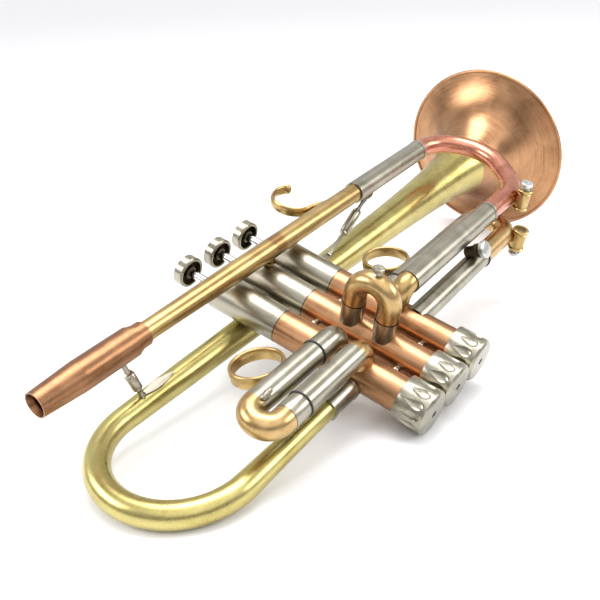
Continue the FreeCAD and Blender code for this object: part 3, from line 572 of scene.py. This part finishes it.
def makeScrew():
    tilt, start, head, bevel = math.radians(screw["tilt"]), screw["start"], screw["head"], screw["bevel"]
    end = start + screw["thick"]
    stations = [(screw["shankStart"], 0), (screw["shankStart"], screw["shank"]), (start, screw["shank"]),
                (start, head - bevel), (start + bevel, head), (end - bevel, head), (end - 0.2, head - 0.5),
                (end, head - 1.1), (end, 0)]
    way = Vector((0, -math.cos(tilt), math.sin(tilt)))
    piece = turn("lyreScrew", stations, screw["place"], way, 64)
    layDown(piece, ["lyre_screw"], "lyre_screw", "screwNickel", 30)


makeScrew()
print("thumb screw made")

# slide 2 pull knob: eight flats on a short neck
knob = {"place": (-2.0, 57.0, 43.9), "neck": 1.7, "flats": 3.4, "sides": 8}


def makeKnob():
    neck, flats = knob["neck"], knob["flats"]
    stations = [(-0.8, 0), (-0.8, neck + 0.9), (0.2, neck + 0.2), (1.4, neck), (2.0, flats - 0.5),
                (2.4, flats), (4.0, flats), (4.5, flats - 0.7), (4.5, 0)]
    piece = turn("pullKnob", stations, knob["place"], "z", knob["sides"])
    layDown(piece, ["slide_2_knob"], "second_valve_slide", "capNickel", 20)


makeKnob()
print("pull knob made")

# slide 1: a nickel cuff on the crook's lower leg and the stop nub between the legs
cuff = {"start": -91.5, "end": -80.75, "radius": 6.68, "inner": 6.2, "place": (0, 44.6, 18.3)}
nub = {"place": (-93.0, 56.5, 24.2), "way": (0.95, 0.0, 0.3), "radius": 1.75, "length": 5.0, "shank": 0.7}


def makeCuff():
    a, b, r, inner = cuff["start"], cuff["end"], cuff["radius"], cuff["inner"]
    stations = [(a, inner), (a, r - 0.05), (a + 0.15, r), (b - 0.25, r), (b, r - 0.25), (b, inner),
                (a, inner)]
    piece = turn("crookCuff", stations, cuff["place"], "x", 64)
    layDown(piece, [], "first_valve_slide", "cuffNickel", 40)


def makeNub():
    r, h, shank = nub["radius"], nub["length"], nub["radius"] * nub["shank"]
    stations = [(-r * 0.9, 0), (-r * 0.8, r * 0.55), (-r * 0.4, r * 0.92), (0, r), (h * 0.6, r),
                (h * 0.7, shank), (h, shank), (h, 0)]
    piece = turn("stopNub", stations, nub["place"], Vector(nub["way"]), 32)
    layDown(piece, ["slide_1_stop_rod"], "first_valve_slide", "capNickel", 35)


makeCuff()
makeNub()
print("slide 1 trim made")

# water keys: flanged barrels with a grooved middle, and screw-headed plungers
key = {"radius": 4.6, "flange": 5.15, "length": 15.0, "bore": 3.2, "groove": 0.5, "plunger": 3.12,
       "neck": 2.2, "start": 2, "head": 3.9, "headTall": 2.2}


def barrelStations():
    flange, middle, length, bore = key["flange"], key["radius"], key["length"], key["bore"]
    groove = middle - key["groove"]
    half = [(0, flange - 0.4), (0.3, flange), (1.2, flange), (1.5, flange - 0.4), (1.8, groove),
            (2.6, groove), (3.0, middle)]
    other = [(length - distance, radius) for distance, radius in reversed(half)]
    return [(0, bore)] + half + other + [(length, bore), (0, bore)]


def plungerStations():
    under, neck, head, length = key["plunger"], key["neck"], key["head"], key["length"]
    top = length + 2.6 + key["headTall"]
    return [(key["start"], 0), (key["start"], under), (length + 0.2, under), (length + 0.6, neck),
            (length + 2.6, neck), (length + 2.6, head - 0.3), (length + 2.9, head), (top - 0.3, head),
            (top, head - 0.4), (top, 1.5), (top - 0.6, 1.3), (top - 0.6, 0)]


def makeKey(number, place, up, body):
    barrel = turn("waterKeyBarrel%d" % number, barrelStations(), place, "z", 48)
    layDown(barrel, ["water_key_%d_barrel" % number], body, "ringBrass", 30)
    stations = plungerStations()
    if not up:
        stations = [(key["length"] - distance, radius) for distance, radius in reversed(stations)]
    plunger = turn("waterKeyPlunger%d" % number, stations, place, "z", 48)
    stands, rides = ["water_key_%d_plunger" % number], "water_key_%d" % number
    layDown(plunger, stands, rides, "screwNickel", 30)


makeKey(1, (165.0, 44.4, 14.2), True, "main_tuning_slide")
makeKey(2, (147.7, 33.95, -4.4), False, "third_valve_slide")
print("water keys made")

# the room: a pale floor, three lamps, a wide soft sun and a sky that is brightest ahead of the camera
room = {"floorSize": 30.0, "floorTone": (0.86, 0.86, 0.87), "sky": 0.9, "skyLow": (0.42, 0.42, 0.42),
        "skyHigh": (0.85, 0.85, 0.87), "skyRise": (0.05, 0.75), "skyFar": (1.0, 1.0, 1.0),
        "farWay": (0.8, 0.6, 0.0), "farRise": (0.1, 0.6), "sunPower": 1.1,
        "sunSpread": 70, "sunTurn": (25, -20, 0), "floorRough": 0.55, "floorDrop": 0.0004}
lamps = {"overhead": {"where": (0.1, 0.1, 1.3), "target": (0, 0, 0), "size": (1.0, 0.7), "power": 16},
         "leftBox": {"where": (-1.0, 0.9, 0.8), "target": (0, 0, 0.05), "size": (0.9, 0.5), "power": 12},
         "rightBox": {"where": (0.7, -1.1, 0.7), "target": (0, 0, 0.05), "size": (0.8, 0.5), "power": 9}}
view = {"place": (-0.38974, -0.25471, 0.2277), "turn": (67.186, 2.513, -53.124), "lens": 47.97,
        "sensor": 36.0, "shift": (-0.0154, -0.0268), "near": 0.01}


def makeFloor():
    bpy.ops.object.select_all(action="DESELECT")
    bpy.ops.mesh.primitive_plane_add(size=room["floorSize"], location=(0, 0, -room["floorDrop"]))
    floor = bpy.context.object
    floor.name = "floor"
    paint = bpy.data.materials.new("paper")
    paint.use_nodes = True
    paper = paint.node_tree.nodes["Principled BSDF"]
    paper.inputs["Base Color"].default_value = (*room["floorTone"], 1.0)
    paper.inputs["Roughness"].default_value = room["floorRough"]
    floor.data.materials.append(paint)


def addLamp(name, lamp):
    data = bpy.data.lights.new(name, "AREA")
    data.shape, data.energy = "RECTANGLE", lamp["power"]
    data.size, data.size_y = lamp["size"]
    box = bpy.data.objects.new(name, data)
    bpy.context.collection.objects.link(box)
    box.location = lamp["where"]
    aim = Vector(lamp["target"]) - Vector(lamp["where"])
    box.rotation_euler = aim.to_track_quat("-Z", "Y").to_euler()


def addSun():
    sun = bpy.data.objects.new("softSun", bpy.data.lights.new("softSun", "SUN"))
    bpy.context.collection.objects.link(sun)
    sun.data.energy, sun.data.angle = room["sunPower"], math.radians(room["sunSpread"])
    sun.rotation_euler = tuple(math.radians(angle) for angle in room["sunTurn"])


def makeSky():
    world = bpy.data.worlds.new("studio")
    bpy.context.scene.world = world
    world.use_nodes = True
    tree = world.node_tree
    sky = tree.nodes["Background"]
    heading = addNode(tree, "ShaderNodeTexCoord")
    height = addNode(tree, "ShaderNodeSeparateXYZ", None, {"Vector": heading}, out=2)
    ahead = addNode(tree, "ShaderNodeVectorMath", {"operation": "DOT_PRODUCT"}, (heading, room["farWay"]),
                    out=1)
    tint = mixColours(tree, ramp(tree, height, *room["skyRise"]), room["skyLow"], room["skyHigh"])
    tint = mixColours(tree, ramp(tree, ahead, *room["farRise"]), tint, room["skyFar"])
    tree.links.new(tint.socket, sky.inputs["Color"])
    sky.inputs["Strength"].default_value = room["sky"]


def addCamera():
    camera = bpy.data.objects.new("camera", bpy.data.cameras.new("camera"))
    bpy.context.collection.objects.link(camera)
    camera.location = view["place"]
    camera.rotation_euler = tuple(math.radians(angle) for angle in view["turn"])
    camera.data.lens, camera.data.sensor_width = view["lens"], view["sensor"]
    camera.data.shift_x, camera.data.shift_y = view["shift"]
    camera.data.clip_start = view["near"]
    bpy.context.scene.camera = camera


makeFloor()
for name, lamp in lamps.items():
    addLamp(name, lamp)
addSun()
makeSky()
addCamera()
bpy.context.scene.view_settings.view_transform = "Standard"
print("room ready")
